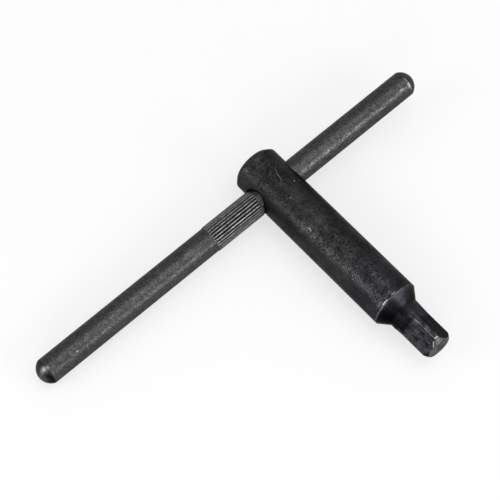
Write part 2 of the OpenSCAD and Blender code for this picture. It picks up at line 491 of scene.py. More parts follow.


# Painted light and shade on the drive, as a factor by the turn in degrees round the barrel's axis
PAINTED_TONES = {
    "cone": {0: 1.2, 40: 1.6, 65: 3.4, 90: 3.5, 115: 1.3, 145: 0.4, 180: 0.35, 270: 0.8, 360: 1.2},
    "neck": {0: 1.7, 50: 3.3, 80: 2.3, 100: 1.1, 130: 0.9, 160: 0.6, 180: 0.6, 270: 0.9, 360: 1.7},
    "strip": {0: 1.0, 90: 1.7, 180: 0.7, 270: 0.8, 360: 1.0},
    "nose": {0: 1.0, 60: 1.0, 105: 0.9, 118: 0.2, 145: 0.2, 160: 0.07, 205: 0.07, 250: 0.6, 360: 1.0},
    "rim": {0: 0.8, 60: 0.8, 100: 0.95, 200: 1.1, 240: 0.8, 360: 0.8},
}
# The same painted factor on each of the four flats, and a factor on the end face by its radius in
# millimetres
FLAT_PAINTED_TONES = np.array([0.5, 1.15, 0.8, 0.7])
END_TONES = {0: 0.22, 1.3: 0.25, 1.9: 0.55, 3.6: 0.62, 4.3: 0.8}
# Painted light and shade on the highlight band along the body: its turn and half width in degrees, and its
# factor by place in millimetres
BAND_TURN = 127
BAND_WIDTH = 14
BAND_PAINTED_TONES = {-7: 1.0, -4: 0.75, -1: 0.55, 6: 0.55, 12: 0.95, 40: 1.05, 52: 1.25, 62: 1.35}
HEAD_TONES = {-7: 0.13, -2: 0.0}
# How smooth the oxide is beside the band, by the turn
CALM = {0: 0.5, 52: 0.6, 62: 0.4, 84: 0.0, 130: 0.0, 138: 0.45, 146: 0.9, 168: 0.6, 210: 0.5, 360: 0.5}


def drive_masks(points, barrel, drive, tip):
    """Masks of the drive's parts, and a factor of painted light and shade all over, divided by its scale.

    The nose is where a point lies on the sphere that ends the drive. Cone, neck, flats, strips and nose get
    painted light and shade by the angle round the axis, and the end face is darker towards its centre. The
    body's highlight band along one side gets painted light and shade by place, a bell curve of the angle.
    """
    place = points[:, 0]
    radius = np.hypot(points[:, 1], points[:, 2])
    turn = np.degrees(np.arctan2(points[:, 2], points[:, 1])) % 360
    full = tip - drive.flat
    corner_r, rim_r, crown_back = nose_sphere(drive)
    off_sphere = np.abs(np.hypot(place - tip + crown_back, radius) - math.hypot(crown_back, rim_r))
    on_sphere = np.clip(1.4 - off_sphere / (0.08 * MM), 0, 1) * (place > tip - drive.nose - 0.2 * MM)
    nose = np.maximum(on_sphere, np.clip((place - tip + 0.1 * MM) / (0.05 * MM), 0, 1))
    neck = np.minimum((place - barrel.body) / (0.3 * MM), (full + 1.2 * MM - place) / (1.5 * MM))
    strip = np.clip((radius - corner_r) / (0.06 * MM) + 1, 0, 1)
    on_strip = strip * np.clip((place - full) / MM + 3.6, 0, 1)
    flats = np.maximum(np.clip((place - full) / (1.5 * MM) + 1.0, 0, 1), on_strip)
    neck = np.minimum(neck, 1 - on_strip)

    cone_tone = looked_up(turn, PAINTED_TONES["cone"])
    cone_tone *= np.interp(place - barrel.body, [0, barrel.cone], [1.15, 0.45])
    flat_tone = FLAT_PAINTED_TONES[np.round((turn - math.degrees(drive.turn)) / 90).astype(int) % 4]
    flat_tone = flat_tone + strip * (looked_up(turn, PAINTED_TONES["strip"]) - flat_tone)
    rim = np.clip((place - tip + 0.4 * MM) / (0.3 * MM), 0, 1)
    nose_tone = looked_up(turn, PAINTED_TONES["nose"])
    nose_tone += rim * (looked_up(turn, PAINTED_TONES["rim"]) - nose_tone)
    nose_tone += (place > tip - 0.01 * MM) * (looked_up(radius / MM, END_TONES) - nose_tone)
    # Painted light and shade along the body's highlight band, then on the drive's parts by the turn
    band = np.exp(-(((turn - BAND_TURN) / BAND_WIDTH) ** 2))
    painted_light_tone = 1 + band * (looked_up(place / MM, BAND_PAINTED_TONES) - 1) + looked_up(place / MM, HEAD_TONES)
    past_cone = np.clip((place - barrel.body - barrel.cone) / MM, 0, 1)
    neck_tone = looked_up(turn, PAINTED_TONES["neck"])
    for mask, values in ((neck, cone_tone), (past_cone, neck_tone), (flats, flat_tone), (nose, nose_tone)):
        painted_light_tone += np.clip(mask, 0, 1) * (values - painted_light_tone)
    return {
        "nose": nose,
        "neck": neck,
        "flats": flats,
        "blued": (place - 0.55 * barrel.body) / (0.45 * barrel.body),
        "faced": np.maximum(np.abs(place + barrel.head) < TINY, np.abs(place - tip) < TINY),
        "calm": looked_up(turn, CALM),
        "painted_light_tone": painted_light_tone / PAINTED_LIGHT_SCALE,
    }


def edge_mask(places, angles, r, barrel, drive, tip):
    """One on the outer edges that rub against things, fading to zero within tenths of a millimetre."""
    def near(distance, width):
        return np.exp(-((distance / width) ** 2))

    shoulder = near(places - barrel.body + 0.02 * MM, 0.09 * MM)
    head = near(places + barrel.head - barrel.chamfer * 0.85, 0.2 * MM) * 0.65
    nose_edge = 0.7 * near(places - tip + 0.05 * MM, 0.12 * MM)
    rings = np.maximum.reduce([shoulder, head, nose_edge])[:, None]
    flat, from_flat = flat_radius(places, angles, drive, tip)
    arc = (flat - drive.corner / 2) / np.maximum(np.tan(np.abs(from_flat)), 0.3)
    full = tip - drive.flat
    ends = [full - 4.2 * MM, full - 2.6 * MM, tip - drive.nose, tip - drive.nose + 0.2 * MM]
    on_square = np.interp(places, ends, [0, 1, 1, 0])[:, None]
    long_edges = 0.9 * near(arc, 0.12 * MM) * on_square
    return np.maximum(np.broadcast_to(rings, r.shape), long_edges)


# The cross bar

# Painted light and shade on the domes: factors by the turn in degrees on the lit side, and by the share of
# the dome's height in the shade. Then how far the shade reaches, and how dark the painted shade in the
# creases is, both by the turn
LIT_PAINTED_TONES = {56: 1.0, 68: 2.4, 80: 2.6, 90: 1.2, 115: 1.2, 140: 1.3, 180: 1.0}
SHADE_PAINTED_TONES = {0: 0.35, 0.3: 0.4, 0.5: 0.8, 0.7: 2.4, 0.85: 3.8, 1.0: 3.9}
IN_SHADE = {0: 1.0, 48: 1.0, 72: 0.0, 290: 0.0, 330: 1.0, 360: 1.0}
CREASE_SHADE = {0: 0.8, 78: 0.8, 94: 0.1, 270: 0.1, 300: 0.8, 360: 0.8}
# A painted bluish sheen on the steel of the long end, by the turn
COOL_SHEEN = {0: 0.0, 20: 0.4, 38: 1.0, 60: 0.4, 80: 0.0, 100: 0.0, 130: 0.7, 180: 0.4, 250: 0.0, 360: 0.0}


def knurl_knots(bar, knurl_start):
    """Places where the knurl's run-in starts and ends, and where its run-out starts and ends."""
    return knurl_start + np.array([0, bar.knurl_ramp, bar.knurl_length - bar.knurl_ramp, bar.knurl_length])


def bar_outline(bar, knurl_start):
    """Half section of the plain bar as (place towards the long end, radius), pole to pole."""
    radius = bar.diameter / 2
    dome_r = (radius**2 + bar.dome**2) / (2 * bar.dome)
    steep = math.asin(radius / dome_r)
    t = np.linspace(0, steep, 22)
    dome = np.stack([dome_r * (1 - np.cos(t)), dome_r * np.sin(t)], 1)
    short = dome * [1, 1] + [-bar.short_end, 0]
    long_end = (dome * [-1, 1] + [bar.long_end, 0])[::-1]
    knurl = knurl_knots(bar, knurl_start)
    beside = 0.15 * MM
    places = [bar.dome - bar.short_end + beside, *knurl, bar.long_end - bar.dome - beside]
    middle = np.stack([places, np.full(6, radius)], 1)
    outline = np.concatenate([short, middle, long_end])

    def spacing(place):
        if knurl[0] < place[0] < knurl[1] or knurl[2] < place[0] < knurl[3]:
            return 0.1 * MM
        if knurl[1] < place[0] < knurl[2]:
            return 0.8 * MM
        return 2.0 * MM

    return refined(outline, spacing)


def ridge_shares():
    """Places across one pitch, from crest to crest, close together where the section bends."""
    half = np.array([0.0, 0.09, 0.13, 0.17, 0.25, 0.33, 0.39, 0.44])
    return np.concatenate([half, [0.5], (1 - half[:0:-1])])


def knurl_radius(places, phases, bar, knurl_start):
    """Radius over the knurl: flat crests, straight flanks and narrow roots, sloped away at both ends.

    The flanks are straight from the crest's edge to a point a third of the depth below the roots.
    The ridges are limited by a slope at each end, and the roots rise to the plain bar there.
    """
    radius = bar.diameter / 2
    crest = radius + bar.knurl_rise
    root = crest - bar.knurl_depth
    valley = root - bar.knurl_depth / 3
    across = np.abs((phases + 0.5) % 1 - 0.5)
    flank = (across - bar.crest_share / 2) / (0.5 - bar.crest_share / 2)
    ridge = soft_min(np.full_like(flank, crest), crest + (valley - crest) * flank, 0.05 * MM)
    uneven = np.stack([noise_rows(places, 7 + k, 2.5 * MM, 0.014 * MM) for k in range(bar.knurl_count)], 1)
    which = np.floor(phases + 0.5).astype(int) % bar.knurl_count
    raised = ridge[None] + uneven[:, which]
    knots = knurl_knots(bar, knurl_start)
    inside = np.array([0, 1, 1, 0])
    limit = radius + np.interp(places, knots, bar.knurl_rise * inside)
    floor = radius - np.interp(places, knots, (bar.knurl_depth - bar.knurl_rise) * inside)
    shape = soft_min(raised, limit[:, None], 0.05 * MM)
    shape = soft_max(shape, np.broadcast_to(floor[:, None], shape.shape), 0.04 * MM)
    on_knurl = (places > knots[0]) & (places < knots[3])
    return np.where(on_knurl[:, None], np.minimum(shape, crest), radius)


def bar_masks(places, angles, r, bar, knurl_start):
    """Masks of the bar's rings and angles, with the values at the two poles at their end.

    Crests and the knurl's ends are worn. Painted shade darkens its grooves, its mouth end and the creases
    beside the domes. Painted light and shade on a dome follow the angle on its lit side, and the height in
    the shade.
    """
    radius = bar.diameter / 2
    place = places[:, None]
    turn = np.degrees(angles) % 360
    raised = np.clip((r - radius) / bar.knurl_rise, 0, 1)
    sunk = np.clip((radius - r) / (bar.knurl_depth - bar.knurl_rise), 0, 1)
    on_dome = np.maximum(-bar.short_end + bar.dome - place, place - bar.long_end + bar.dome)
    sunk[on_dome[:, 0] > -bar.dome] = 0
    ends = np.minimum(np.abs(place - knurl_start), np.abs(place - knurl_start - bar.knurl_length))
    at_ends = np.exp(-((ends / (bar.knurl_ramp * 0.75)) ** 2)) * (raised > 0.15)
    # Painted shade at the knurl's end in the mouth of the hole, and in the creases beside the domes by the
    # turn
    mouth_shade = np.clip((knurl_start + 0.15 * MM - place) / (0.3 * MM), 0, 1) * (place > 0)
    crease_shade = np.exp(-((on_dome / (0.2 * MM) - 0.9) ** 2))
    crease_shade = crease_shade * np.where(place < 0, looked_up(turn, CREASE_SHADE), 0.3)
    # Painted light and shade on the domes
    rise = np.clip(on_dome / bar.dome, 0, 1)
    lit_tone = looked_up(turn, LIT_PAINTED_TONES) * (1 + rise * 0.9)
    painted_light_tone = lit_tone + looked_up(turn, IN_SHADE) * (looked_up(rise, SHADE_PAINTED_TONES) - lit_tone)
    masks = {
        "worn": (np.maximum(raised**3 * 0.85, at_ends), (0, 0)),
        "painted_shade": (np.maximum(0.8 * sunk, np.maximum(0.5 * mouth_shade, crease_shade)), (0, 0)),
        "dome": (on_dome / (0.12 * MM) + 0.5, (1, 1)),
        "far": (place > 0, (0, 1)),
        "painted_light_tone": (painted_light_tone / PAINTED_LIGHT_SCALE, (1 / PAINTED_LIGHT_SCALE, 1 / PAINTED_LIGHT_SCALE)),
        "cool_sheen": (looked_up(turn, COOL_SHEEN) * (place > 0), (0, 0)),
    }
    return {
        name: np.append(np.broadcast_to(values, r.shape), poles)
        for name, (values, poles) in masks.items()
    }


def bar_mesh(barrel, bar):
    """Closed mesh of the bar: plain round lengths, domed ends and the ridges of the knurl."""
    knurl_start = barrel.diameter / 2 + bar.knurl_gap
    outline = bar_outline(bar, knurl_start)
    places, radii = outline[1:-1, 0], outline[1:-1, 1]
    phases = (np.arange(bar.knurl_count)[:, None] + ridge_shares()[None]).ravel()
    angles = bar.knurl_turn + phases * 2 * math.pi / bar.knurl_count
    radius = bar.diameter / 2
    domes = np.where(radii < radius - TINY, radii, 1.0)
    r = np.minimum(knurl_radius(places, phases, bar, knurl_start), domes[:, None])
    points = np.stack([
        r * np.cos(angles),
        np.broadcast_to(-places[:, None], r.shape),
        r * np.sin(angles),
    ], -1)
    poles = [[0, -outline[0, 0], 0], [0, -outline[-1, 0], 0]]
    all_points = np.concatenate([points.reshape(-1, 3), poles])
    index = np.arange(r.size).reshape(r.shape)
    caps = cap_fans(index, r.size, r.size + 1)
    mesh = make_mesh("bar_skin", laid_down(all_points, barrel, bar), quads_between(index), caps)
    add_masks(mesh, bar_masks(places, angles, r, bar, knurl_start))
    assert r.max() <= radius + bar.knurl_rise + TINY
    return mesh


# Shader nodes


def add_node(tree, kind, inputs=None, **options):
    """Adds a node, sets its options, and links or sets the inputs given by name or number."""
    node = tree.nodes.new(kind)
    for key, value in options.items():
        setattr(node, key, value)
    for key, value in (inputs or {}).items():
        if isinstance(value, bpy.types.NodeSocket):
            tree.links.new(value, node.inputs[key])
        else:
            node.inputs[key].default_value = value
    return node


def maths(tree, operation, a, b=0.0, clamp=False):
    """One Math node's output."""
    return add_node(tree, "ShaderNodeMath", {0: a, 1: b}, operation=operation, use_clamp=clamp).outputs[0]


def added(tree, base, value, weight):
    """The base plus the value times the weight."""
    return maths(tree, "ADD", base, maths(tree, "MULTIPLY", value, weight))


def vector_maths(tree, operation, a, b=(0.0, 0.0, 0.0)):
    """One Vector Math node's outputs."""
    return add_node(tree, "ShaderNodeVectorMath", {0: a, 1: b}, operation=operation).outputs


def scaled(tree, vector, factor):
    """A vector or colour socket times another socket."""
    inputs = {0: vector, "Scale": factor}
    return add_node(tree, "ShaderNodeVectorMath", inputs, operation="SCALE").outputs[0]


def ranged(tree, value, low, high, to_low=0.0, to_high=1.0, smooth=True):
    """A value mapped from one range to another, smoothly by default."""
    inputs = {"Value": value, "From Min": low, "From Max": high, "To Min": to_low, "To Max": to_high}
    kind = "SMOOTHSTEP" if smooth else "LINEAR"
    return add_node(tree, "ShaderNodeMapRange", inputs, interpolation_type=kind).outputs["Result"]


def blended(tree, factor, a, b):
    """Colour a turned to colour b by the factor."""
    mix = add_node(tree, "ShaderNodeMix", {0: factor, 6: a, 7: b}, data_type="RGBA")
    return mix.outputs[2]


def noise(tree, vector, scale, detail=3.0, rough=0.55):
    """A noise value between zero and one."""
    inputs = {"Vector": vector, "Scale": scale, "Detail": detail, "Roughness": rough}
    return add_node(tree, "ShaderNodeTexNoise", inputs).outputs[0]


def stretched(tree, vector, scale, turn=(0, 0, 0)):
    """The vector, turned and then scaled along each axis."""
    turned = add_node(tree, "ShaderNodeMapping", {"Vector": vector, "Rotation": turn}, vector_type="POINT")
    inputs = {"Vector": turned.outputs[0], "Scale": scale}
    return add_node(tree, "ShaderNodeMapping", inputs, vector_type="POINT").outputs[0]


def new_group(name, inputs, outputs):
    """An empty shader group with the named inputs (name, kind, default) and outputs (name, kind)."""
    tree = bpy.data.node_groups.new(name, "ShaderNodeTree")
    for label, kind, default in inputs:
        socket = tree.interface.new_socket(name=label, in_out="INPUT", socket_type="NodeSocket" + kind)
        if default is not None:
            socket.default_value = default
    for label, kind in outputs:
        tree.interface.new_socket(name=label, in_out="OUTPUT", socket_type="NodeSocket" + kind)
    return tree, tree.nodes.new("NodeGroupInput").outputs, tree.nodes.new("NodeGroupOutput").inputs


def use_group(tree, name, inputs):
    """Places a group in a material and gives its outputs."""
    return add_node(tree, "ShaderNodeGroup", inputs, node_tree=bpy.data.node_groups[name]).outputs


def group_patches():
    """Cloudy patches of two sizes, as a finish takes unevenly, and a sandy grain inside them."""
    inputs = [("Vector", "Vector", None), ("Size", "Float", 300.0), ("Sand", "Float", 2300.0)]
    tree, given, out = new_group("patches", inputs, [("Patch", "Float"), ("Sand", "Float")])
    vector = given["Vector"]
    large = noise(tree, vector, given["Size"], 4.0, 0.6)
    small = noise(tree, vector, maths(tree, "MULTIPLY", given["Size"], 3.2), 3.0, 0.6)
    both = added(tree, maths(tree, "MULTIPLY", large, 0.5), small, 0.5)
    tree.links.new(ranged(tree, both, 0.36, 0.64), out["Patch"])
    tree.links.new(ranged(tree, noise(tree, vector, given["Sand"], 2.0, 0.7), 0.3, 0.7), out["Sand"])


def group_specks():
    """Irregular bright specks: the peaks of a fine noise, more of them where Density is higher."""
    inputs = [("Vector", "Vector", None), ("Size", "Float", 1700.0), ("Density", "Float", 0.2)]
    tree, given, out = new_group("specks", inputs, [("Speck", "Float")])
    fine = noise(tree, given["Vector"], given["Size"], 2.0, 0.8)
    cluster = noise(tree, given["Vector"], maths(tree, "MULTIPLY", given["Size"], 0.2), 3.0, 0.6)
    raised = added(tree, fine, maths(tree, "SUBTRACT", cluster, 0.5), 0.3)
    level = added(tree, raised, given["Density"], 0.2)
    tree.links.new(ranged(tree, level, 0.68, 0.84), out["Speck"])


def group_grain():
    """Fine parallel lines: noise squeezed across them and drawn out along them."""
    inputs = [("Vector", "Vector", None), ("Detail", "Float", 3.0)]
    tree, given, out = new_group("grain", inputs, [("Line", "Float")])
    tree.links.new(noise(tree, given["Vector"], 1.0, given["Detail"], 0.65), out["Line"])


def group_worn_edge():
    """Where an edge mask shows bare steel: the mask less a noise that breaks it up along the edge."""
    inputs = [("Mask", "Float", 0.0), ("Vector", "Vector", None), ("Amount", "Float", 0.5)]
    tree, given, out = new_group("worn edge", inputs, [("Bare", "Float")])
    broken = noise(tree, given["Vector"], 500.0, 4.0, 0.65)
    reach = maths(tree, "MULTIPLY", given["Mask"], maths(tree, "ADD", given["Amount"], 0.5))
    tree.links.new(ranged(tree, maths(tree, "SUBTRACT", reach, broken), 0.0, 0.5), out["Bare"])


def group_mark():
    """How near a point is to the line from Start to End: Mark is hard and uneven, and Zone is soft.

    Both divide the distance from the line by Width, which a noise varies for Mark.
    """
    inputs = [(name, "Vector", None) for name in ("Vector", "Start", "End")]
    inputs.append(("Width", "Float", 0.0002))
    tree, given, out = new_group("mark", inputs, [("Mark", "Float"), ("Zone", "Float")])
    along = vector_maths(tree, "SUBTRACT", given["End"], given["Start"])[0]
    to_point = vector_maths(tree, "SUBTRACT", given["Vector"], given["Start"])[0]
    reached = vector_maths(tree, "DOT_PRODUCT", to_point, along)["Value"]
    whole = vector_maths(tree, "DOT_PRODUCT", along, along)["Value"]
    nearest = scaled(tree, along, maths(tree, "DIVIDE", reached, whole, clamp=True))
    off = vector_maths(tree, "DISTANCE", to_point, nearest)["Value"]
    uneven = noise(tree, given["Vector"], 2500.0, 1.0)
    reach = maths(tree, "MULTIPLY", given["Width"], maths(tree, "ADD", uneven, 0.5))
    for width, core, name in ((reach, 0.3, "Mark"), (given["Width"], 0.0, "Zone")):
        tree.links.new(ranged(tree, maths(tree, "DIVIDE", off, width), 1.0, core), out[name])


# Materials


def start_material(name):
    """New material with its tree, its shader and the object's own coordinates."""
    material = bpy.data.materials.new(name)
    material.use_nodes = True
    tree = material.node_tree
    shader = tree.nodes["Principled BSDF"]
    where = add_node(tree, "ShaderNodeTexCoord").outputs["Object"]
    return material, tree, shader, where


def mask_of(tree, name):
    """A mask stored on the mesh."""
    return add_node(tree, "ShaderNodeAttribute", attribute_name=name).outputs["Fac"]


def times(tint, factor=1.0):
    """A colour made lighter or darker, for a colour socket."""
    return (*[part * factor for part in tint], 1.0)


def mark_at(tree, where, kind, start, end, width, strength):
    """A mark or a zone on the line from start to end, times its strength."""
    inputs = {"Vector": where, "Start": start, "End": end, "Width": width}
    return maths(tree, "MULTIPLY", use_group(tree, "mark", inputs)[kind], strength)


def marked(tree, where, piece, tint, bare):
    """Adds the single scratches and nicks of a piece, its larger rubbed or sooty spots and its painted
    highlights, to a colour.
    """
    for start, end, width, strength, lightness in MARKS[piece]:
        kind = "Mark" if width < NARROW else "Zone"
        mark = mark_at(tree, where, kind, start, end, width, strength)
        tint = blended(tree, mark, tint, times(bare, lightness))
    return tint


def rubbed_and_glint_zones(tree, where, piece):
    """One along the bands where a piece is rubbed more than elsewhere and its highlights get painted
    glints, falling softly to zero.
    """
    total, *others = [mark_at(tree, where, "Zone", *zone) for zone in RUBBED_AND_GLINT_ZONES[piece]]
    for zone in others:
        total = maths(tree, "MAXIMUM", total, zone)
    return total


def shaded(tree, mask, colour, below, above):
    """A colour scaled from one factor where a mask is zero to another where it is one."""
    return blended(tree, mask, times(colour, below), times(colour, above))


def masked(tree, name, tint, other):
    """The tint turned to the other one by a mask stored on the mesh."""
    return blended(tree, mask_of(tree, name), tint, other)


def cooled(tree, name, tint, factors):
    """The tint with its red, green and blue times the factors where a mask is one."""
    return masked(tree, name, tint, vector_maths(tree, "MULTIPLY", tint, factors)[0])


def with_painted_light(tree, tint):
    """The tint made lighter or darker by the painted light and shade stored on the mesh."""
    return scaled(tree, tint, maths(tree, "MULTIPLY", mask_of(tree, "painted_light_tone"), PAINTED_LIGHT_SCALE))


def grain_lines(tree, where, scale, turn=(0, 0, 0)):
    """Fine lines along the axes whose scale is small."""
    return use_group(tree, "grain", {"Vector": stretched(tree, where, scale, turn)})["Line"]


def specks_in(tree, where, size, zone, few, more):
    """Specks whose density is few, plus more in the rubbed zones."""
    inputs = {"Vector": where, "Size": size, "Density": added(tree, few, zone, more)}
    return use_group(tree, "specks", inputs)["Speck"]


def rubbed_bare(tree, where, amount, worn_share, specks, speck_share):
    """How bare the steel is: its worn edges or its specks, whichever is more."""
    inputs = {"Mask": mask_of(tree, "worn"), "Vector": where, "Amount": amount}
    worn = maths(tree, "MULTIPLY", use_group(tree, "worn edge", inputs)["Bare"], worn_share)
    return maths(tree, "MAXIMUM", maths(tree, "MULTIPLY", specks, speck_share), worn)


def facing_marks(tree, where, barrel):
    """Fine rings round the barrel's axis, as a tool leaves them on an end face."""
    offset = vector_maths(tree, "SUBTRACT", where, tuple(crossing(barrel)))[0]
    across = vector_maths(tree, "MULTIPLY", offset, (0.0, 5200.0, 5200.0))[0]
    distance = vector_maths(tree, "LENGTH", across)["Value"]
    return use_group(tree, "grain", {"Vector": distance})["Line"]


def finish_steel(material, tint, rough, height, depth, edge):
    """Joins colour, roughness and relief to the shader, as a metal that is darker at grazing angles."""
    tree = material.node_tree
    shader = tree.nodes["Principled BSDF"]
    bump = add_node(tree, "ShaderNodeBump", {"Height": height, "Strength": 0.4, "Distance": depth})
    for name, socket in (("Base Color", tint), ("Roughness", rough), ("Normal", bump.outputs[0])):
        tree.links.new(socket, shader.inputs[name])
    shader.inputs["Metallic"].default_value = 1.0
    shader.inputs["Specular Tint"].default_value = times(edge)
    return material


def black_oxide(finish, barrel):
    """Black oxide on turned steel: clouded, satin, specked, rubbed through at its edges, with painted light
    and shade.
    """
    material, tree, _, where = start_material("black oxide")
    facing = facing_marks(tree, where, barrel)
    patches = use_group(tree, "patches", {"Vector": where, "Size": 360.0, "Sand": 2300.0})
    rings = grain_lines(tree, where, (7000.0, 60.0, 60.0))
    zone = rubbed_and_glint_zones(tree, where, "barrel")
    cloud = added(tree, maths(tree, "MULTIPLY", patches["Patch"], 0.5), patches["Sand"], 0.5)
    tint = shaded(tree, cloud, finish.barrel, 0.15, 1.95)
    tint = masked(tree, "calm", tint, shaded(tree, cloud, finish.barrel, 0.85, 1.15))
    broad = noise(tree, where, 110.0, 3.0, 0.5)
    tint = scaled(tree, tint, ranged(tree, broad, 0.3, 0.7, 0.75, 1.25))
    tint = cooled(tree, "blued", tint, (1.0, 0.99, 1.14))
    tint = masked(tree, "neck", tint, shaded(tree, cloud, finish.neck, 0.68, 1.36))
    streaks = added(tree, grain_lines(tree, where, (420.0, 1100.0, 1100.0)), cloud, 0.2)
    streaks = ranged(tree, streaks, 0.4, 0.8)
    tint = masked(tree, "flats", tint, shaded(tree, streaks, finish.flats, 0.3, 1.9))
    strokes = added(tree, grain_lines(tree, where, (2300.0, 50.0, 50.0)), cloud, 0.3)
    strokes = ranged(tree, strokes, 0.45, 0.85)
    tint = masked(tree, "nose", tint, shaded(tree, strokes, finish.nose, 0.3, 1.6))
    # Painted light and shade on the drive and along the body
    tint = with_painted_light(tree, tint)
    tint = masked(tree, "faced", tint, scaled(tree, tint, ranged(tree, facing, 0.3, 0.7, 0.7, 1.35)))
    specks = specks_in(tree, where, 2400.0, zone, 0.12, 0.6)
    specks = maths(tree, "MULTIPLY", specks, maths(tree, "SUBTRACT", 1.0, mask_of(tree, "neck")))
    bare = rubbed_bare(tree, where, 0.45, 0.8, specks, 0.4)
    tint = blended(tree, bare, tint, times(finish.bare))
    pits = specks_in(tree, where, 1900.0, zone, 0.02, 0.5)
    tint = blended(tree, maths(tree, "MULTIPLY", pits, 0.7), tint, times(finish.barrel, 0.2))
    tint = marked(tree, where, "barrel", tint, finish.bare)
    # Painted shade on the head's chamfer and round the mouths of the hole
    tint = masked(tree, "painted_shade", tint, times(finish.barrel, 0.1))
    rough = ranged(tree, patches["Patch"], 0.0, 1.0, 0.46, 0.34, smooth=False)
    rough = added(tree, rough, mask_of(tree, "neck"), -0.06)
    facing = maths(tree, "MULTIPLY", maths(tree, "SUBTRACT", facing, rings), mask_of(tree, "faced"))
    height = added(tree, maths(tree, "ADD", rings, facing), patches["Sand"], 1.3)
    return finish_steel(material, tint, rough, height, 0.04 * MM, finish.edge)


def darkened_steel(finish, tilt):
    """Darkened drawn steel: sandy and lined along the bar, scuffed in bands, smoother on its domes, with a
    painted bluish sheen, painted highlights and painted shade.
    """
    material, tree, _, where = start_material("darkened steel")
    patches = use_group(tree, "patches", {"Vector": where, "Size": 460.0, "Sand": 2400.0})
    line = grain_lines(tree, where, (3600.0, 260.0, 3600.0), (-tilt, 0, 0))
    zone = rubbed_and_glint_zones(tree, where, "bar")
    plain = maths(tree, "SUBTRACT", 1.0, mask_of(tree, "dome"))
    cloud = added(tree, maths(tree, "MULTIPLY", patches["Patch"], 0.3), patches["Sand"], 0.45)
    cloud = added(tree, cloud, line, 0.25)
    tint = shaded(tree, cloud, finish.bar, 0.1, 1.95)
    # Painted bluish sheen on the long end, by the turn
    tint = cooled(tree, "cool_sheen", tint, (0.995, 0.985, 1.04))
    # Painted highlight and shade on the long end's dome
    domes = with_painted_light(tree, shaded(tree, cloud, finish.dome, 0.8, 1.2))
    domes = masked(tree, "far", shaded(tree, cloud, finish.bar, 0.9, 1.5), domes)
    tint = masked(tree, "dome", tint, domes)
    specks = specks_in(tree, where, 2500.0, zone, 0.2, 0.6)
    bare = maths(tree, "MULTIPLY", rubbed_bare(tree, where, 0.65, 0.75, specks, 0.5), plain)
    tint = blended(tree, bare, tint, times(finish.bare))
    pits = specks_in(tree, where, 1800.0, zone, 0.08, 0.6)
    tint = blended(tree, maths(tree, "MULTIPLY", pits, 0.75), tint, times(finish.bar, 0.2))
    tint = marked(tree, where, "bar", tint, finish.bare)
    # Painted shade in the knurl's grooves, at its mouth end and in the creases beside the domes
    tint = masked(tree, "painted_shade", tint, times(finish.bar, 0.2))
    rough = ranged(tree, cloud, 0.2, 0.8, 0.44, 0.32, smooth=False)
    height = maths(tree, "MULTIPLY", added(tree, line, patches["Sand"], 1.3), plain)
    return finish_steel(material, tint, rough, height, 0.03 * MM, finish.edge)


# A mark narrower than this is a scratch with a hard edge, and a wider one is a soft spot
NARROW = 0.4 * MM
